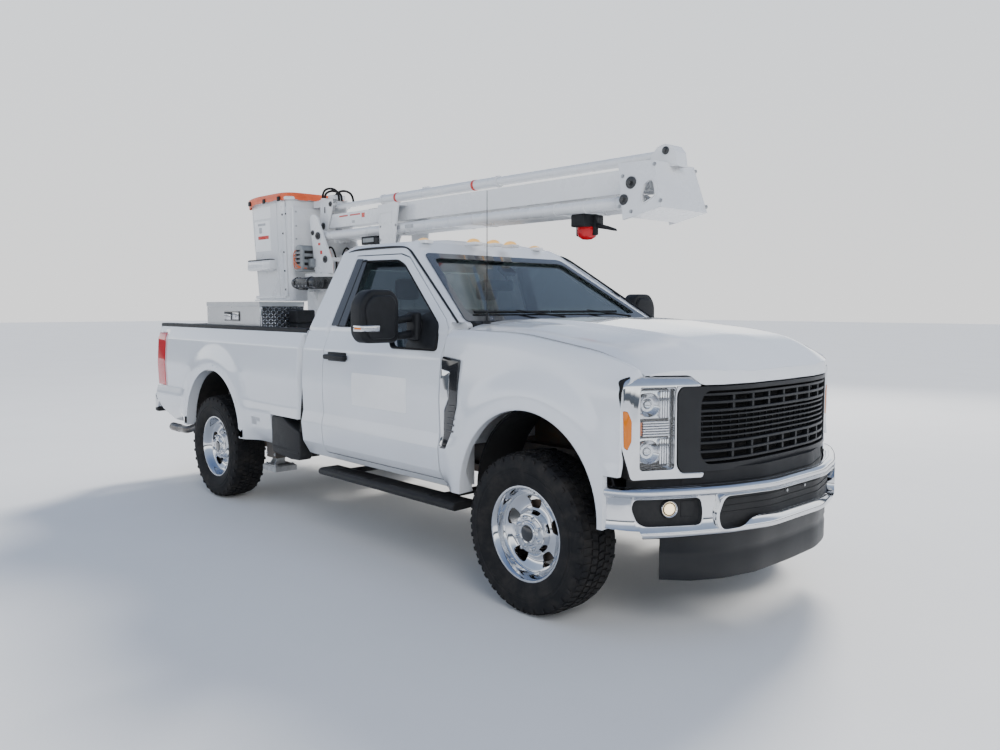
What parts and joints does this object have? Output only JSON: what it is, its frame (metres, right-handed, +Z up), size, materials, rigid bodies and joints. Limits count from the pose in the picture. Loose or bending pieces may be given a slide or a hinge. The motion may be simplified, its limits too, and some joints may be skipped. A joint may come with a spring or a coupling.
{
  "type": "bucket lift pickup truck",
  "caption": "Four-wheel pickup truck with a telescopic articulated bucket lift on a pedestal in its bed; wheels, steering, doors, lids, booms and bucket move.",
  "frame": {"origin": "middle of the truck's length and width, on the ground under its tyres", "axes": "+X forward, +Y to the truck's left, +Z up"},
  "size_m": [5.888, 2.66, 2.55],
  "materials": {
    "black_plastic": "grained black plastic",
    "cast_dark": "dark cast iron",
    "chassis_black": "satin black",
    "chrome": "bright chrome",
    "cover_orange": "orange vinyl",
    "fibreglass_white": "white gelcoat",
    "glass": "lightly tinted glass",
    "lamp_lens": "clear lamp lens",
    "lift_white": "gloss white enamel on steel",
    "raw_steel": "dull steel",
    "red_lens": "red lens",
    "seat_cloth": "dark grey vinyl and cloth",
    "slew_black": "gloss black enamel",
    "tread_plate": "mill finish and bright tread plate",
    "tyre": "black tyre rubber",
    "valve_grey": "grey enamel",
    "wheel_silver": "silver painted wheel",
    "white_paint": "gloss white body paint"
  },
  "bodies": {
    "chassis": {"frame_rails": "chassis_black", "engine_block": "cast_dark", "fuel_tank": "black_plastic", "exhaust": "raw_steel", "axles": "cast_dark", "bumpers": "chrome", "cab_shell": "white_paint", "cab_glass": "glass", "wings": "white_paint", "front_panels": "black_plastic", "grille": "black_plastic", "headlamps": "lamp_lens", "bed_floor": "white_paint", "bed_sides": "white_paint", "tail_lamps": "red_lens", "seat": "seat_cloth", "dashboard": "black_plastic", "running_boards": "black_plastic", "pedestal": "lift_white", "stabiliser_beam": "lift_white", "toolbox": "tread_plate", "control_box": "black_plastic"},
    "door_left": {"door_left": "white_paint", "door_glass_left": "glass", "mirror_left": "black_plastic"},
    "door_right": {"door_right": "white_paint", "door_glass_right": "glass", "mirror_right": "black_plastic"},
    "bonnet": {"bonnet": "white_paint"},
    "tailgate": {"tailgate": "white_paint"},
    "toolbox_lid": {"toolbox_lid": "tread_plate"},
    "steering_wheel": {"steering_wheel": "black_plastic"},
    "knuckle_left": {"knuckle_left": "cast_dark"},
    "knuckle_right": {"knuckle_right": "cast_dark"},
    "wheel_front_left": {"wheel_front_left": "wheel_silver", "tyre_front_left": "tyre"},
    "wheel_front_right": {"wheel_front_right": "wheel_silver", "tyre_front_right": "tyre"},
    "wheel_rear_left": {"wheel_rear_left": "wheel_silver", "tyre_rear_left": "tyre"},
    "wheel_rear_right": {"wheel_rear_right": "wheel_silver", "tyre_rear_right": "tyre"},
    "stabiliser_left": {"stabiliser_left": "lift_white"},
    "stabiliser_right": {"stabiliser_right": "lift_white"},
    "turret": {"turret": "lift_white", "slew_drive": "slew_black", "valve_block": "valve_grey"},
    "lower_arm": {"lower_arm": "lift_white"},
    "level_link": {"level_link": "lift_white"},
    "cylinder_barrel": {"cylinder_barrel": "lift_white"},
    "cylinder_rod": {"cylinder_rod": "chrome"},
    "boom_knuckle": {"boom_knuckle": "lift_white"},
    "outer_boom": {"outer_boom": "lift_white"},
    "inner_boom": {"inner_boom": "lift_white"},
    "level_sleeve": {"level_sleeve": "lift_white"},
    "level_rod": {"level_rod": "lift_white"},
    "tip_bracket": {"tip_bracket": "lift_white"},
    "bucket": {"bucket": "fibreglass_white", "bucket_mount": "lift_white", "bucket_cover": "cover_orange"}
  },
  "joints": [
    {"name": "wheel_front_left_spin", "type": "hinge", "parent": "knuckle_left", "child": "wheel_front_left", "pos_m": [1.974, 0.8675, 0.415], "axis": [0, 1, 0], "continuous": true},
    {"name": "wheel_front_right_spin", "type": "hinge", "parent": "knuckle_right", "child": "wheel_front_right", "pos_m": [1.974, -0.8675, 0.415], "axis": [0, 1, 0], "continuous": true},
    {"name": "wheel_rear_left_spin", "type": "hinge", "parent": "chassis", "child": "wheel_rear_left", "pos_m": [-1.623, 0.8535, 0.415], "axis": [0, 1, 0], "continuous": true},
    {"name": "wheel_rear_right_spin", "type": "hinge", "parent": "chassis", "child": "wheel_rear_right", "pos_m": [-1.623, -0.8535, 0.415], "axis": [0, 1, 0], "continuous": true},
    {"name": "steer_left", "type": "hinge", "parent": "chassis", "child": "knuckle_left", "pos_m": [1.974, 0.715, 0.415], "axis": [0, 0, 1], "range_deg": [-32, 32]},
    {"name": "steer_right", "type": "hinge", "parent": "chassis", "child": "knuckle_right", "pos_m": [1.974, -0.715, 0.415], "axis": [0, 0, 1], "range_deg": [-32, 32]},
    {"name": "steering_wheel_turn", "type": "hinge", "parent": "chassis", "child": "steering_wheel", "pos_m": [0.857, 0.4, 1.3], "axis": [0.8829, 0, -0.4695], "range_deg": [-330, 330]},
    {"name": "door_left_open", "type": "hinge", "parent": "chassis", "child": "door_left", "pos_m": [1.303, 1, 1], "axis": [0, 0, -1], "range_deg": [0, 65]},
    {"name": "door_right_open", "type": "hinge", "parent": "chassis", "child": "door_right", "pos_m": [1.303, -1, 1], "axis": [0, 0, 1], "range_deg": [0, 65]},
    {"name": "bonnet_open", "type": "hinge", "parent": "chassis", "child": "bonnet", "pos_m": [1.417, 0, 1.5], "axis": [0, -1, 0], "range_deg": [0, 35]},
    {"name": "tailgate_open", "type": "hinge", "parent": "chassis", "child": "tailgate", "pos_m": [-2.763, 0, 0.835], "axis": [0, -1, 0], "range_deg": [0, 90]},
    {"name": "toolbox_lid_open", "type": "hinge", "parent": "chassis", "child": "toolbox_lid", "pos_m": [-1.488, -0.478, 1.59], "axis": [-1, 0, 0], "range_deg": [0, 80]},
    {"name": "stabiliser_left_lower", "type": "slide", "parent": "chassis", "child": "stabiliser_left", "axis": [0, 0, -1], "range_m": [0, 0.28]},
    {"name": "stabiliser_right_lower", "type": "slide", "parent": "chassis", "child": "stabiliser_right", "axis": [0, 0, -1], "range_m": [0, 0.28]},
    {"name": "turret_slew", "type": "hinge", "parent": "chassis", "child": "turret", "pos_m": [-1.353, 0, 1.8], "axis": [0, 0, 1], "range_deg": [-180, 180]},
    {"name": "lower_arm_raise", "type": "hinge", "parent": "turret", "child": "lower_arm", "pos_m": [-1.321, 0, 2.144], "axis": [0, -1, 0], "range_deg": [0, 80]},
    {"name": "level_link_turn", "type": "hinge", "parent": "turret", "child": "level_link", "pos_m": [-1.406, 0, 2.174], "axis": [0, -1, 0], "range_deg": [0, 80]},
    {"name": "cylinder_turn", "type": "hinge", "parent": "turret", "child": "cylinder_barrel", "pos_m": [-1.211, 0, 1.945], "axis": [0, -1, 0], "range_deg": [0, 80]},
    {"name": "cylinder_stroke", "type": "slide", "parent": "cylinder_barrel", "child": "cylinder_rod", "axis": [0.9878, 0, 0.156], "range_m": [0, 0.2807]},
    {"name": "knuckle_level", "type": "hinge", "parent": "lower_arm", "child": "boom_knuckle", "pos_m": [1.964, 0, 2.144], "axis": [0, -1, 0], "range_deg": [-80, 0]},
    {"name": "upper_boom_raise", "type": "hinge", "parent": "boom_knuckle", "child": "outer_boom", "pos_m": [2.006, 0, 2.233], "axis": [0, 1, 0], "range_deg": [0, 75]},
    {"name": "level_sleeve_turn", "type": "hinge", "parent": "boom_knuckle", "child": "level_sleeve", "pos_m": [2.124, 0, 2.409], "axis": [0, 1, 0], "range_deg": [0, 75]},
    {"name": "boom_extend", "type": "slide", "parent": "outer_boom", "child": "inner_boom", "axis": [-1, 0, 0], "range_m": [0, 1.8]},
    {"name": "level_rod_extend", "type": "slide", "parent": "level_sleeve", "child": "level_rod", "axis": [-1, 0, 0], "range_m": [0, 1.8]},
    {"name": "tip_level", "type": "hinge", "parent": "inner_boom", "child": "tip_bracket", "pos_m": [-1.373, 0, 2.233], "axis": [0, 1, 0], "range_deg": [-75, 0]},
    {"name": "bucket_rotate", "type": "hinge", "parent": "tip_bracket", "child": "bucket", "pos_m": [-1.523, 0.16, 2.2], "axis": [0, 0, -1], "range_deg": [0, 90]}
  ],
  "couplings": [
    {"joint": "steer_right", "follows": "steer_left", "ratio": 1},
    {"joint": "steering_wheel_turn", "follows": "steer_left", "ratio": -10},
    {"joint": "level_link_turn", "follows": "lower_arm_raise", "ratio": 1},
    {"joint": "knuckle_level", "follows": "lower_arm_raise", "ratio": -1},
    {"joint": "cylinder_turn", "follows": "lower_arm_raise", "ratio": 0.92652},
    {"joint": "cylinder_stroke", "follows": "lower_arm_raise", "m_per_rad": 0.20036},
    {"joint": "level_sleeve_turn", "follows": "upper_boom_raise", "ratio": 1},
    {"joint": "tip_level", "follows": "upper_boom_raise", "ratio": -1},
    {"joint": "level_rod_extend", "follows": "boom_extend", "ratio": 1}
  ]
}
